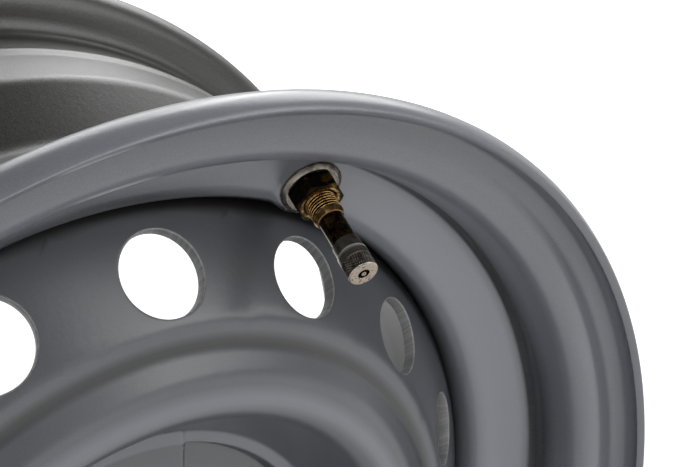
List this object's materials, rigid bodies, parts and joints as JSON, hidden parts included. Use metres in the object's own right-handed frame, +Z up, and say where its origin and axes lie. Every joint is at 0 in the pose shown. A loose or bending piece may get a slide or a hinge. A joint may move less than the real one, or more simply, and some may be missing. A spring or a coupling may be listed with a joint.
{
  "type": "trailer wheel",
  "caption": "Pressed steel disc wheel for a light trailer, without tyre: rolled rim with a drop well, dished disc with round vents and stud holes, and a metal clamp-in valve with its screw cap.",
  "frame": {"origin": "on the wheel's axis, midway between the two tyre flanges, which is the centre of the bounding box", "axes": "the wheel stands upright: +Y is its axis and points inboard to the hub, the outer face looks to -Y, +Z is up and +X completes the frame"},
  "size_m": [0.3909, 0.1848, 0.391],
  "materials": {
    "wheel_paint": "grey semi-gloss paint over pressed steel",
    "brass": "turned, dulled",
    "dark_brass": "browned, with a bare ring at its chamfer",
    "nickel": "nickel plated",
    "cap_steel": "turned and knurled, slightly dirty",
    "spring_steel": "bright wire",
    "rubber": "moulded"
  },
  "bodies": {
    "wheel": {"rim": "wheel_paint", "disc": "wheel_paint", "disc_welds": "wheel_paint", "valve_stem": "brass", "valve_grommet": "rubber", "valve_washer": "nickel", "valve_nut": "dark_brass", "core_plug": "brass", "core_barrel": "brass", "core_gasket": "rubber", "core_spring": "spring_steel"},
    "core": {"core_pin": "brass", "core_cup": "brass", "core_cup_seal": "rubber"},
    "cap_lift": {"cap_seal": "rubber"},
    "cap": {"valve_cap": "cap_steel"}
  },
  "joints": [
    {"name": "core_press", "type": "slide", "parent": "wheel", "child": "core", "axis": [0.1934, 0.8934, 0.4055], "range_m": [0, 0.0012], "stiffness_N_per_m": 1500, "springref_m": -0.001, "deforming": ["core_spring"]},
    {"name": "cap_rise", "type": "slide", "parent": "wheel", "child": "cap_lift", "axis": [-0.1934, -0.8934, -0.4055], "range_m": [0, 0.00555]},
    {"name": "cap_turn", "type": "hinge", "parent": "cap_lift", "child": "cap", "pos_m": [0.06398, -0.07385, 0.13414], "axis": [-0.1934, -0.8934, -0.4055], "range_deg": [0, 2520]}
  ],
  "couplings": [
    {"joint": "cap_turn", "follows": "cap_rise", "rad_per_m": 7913.3}
  ]
}
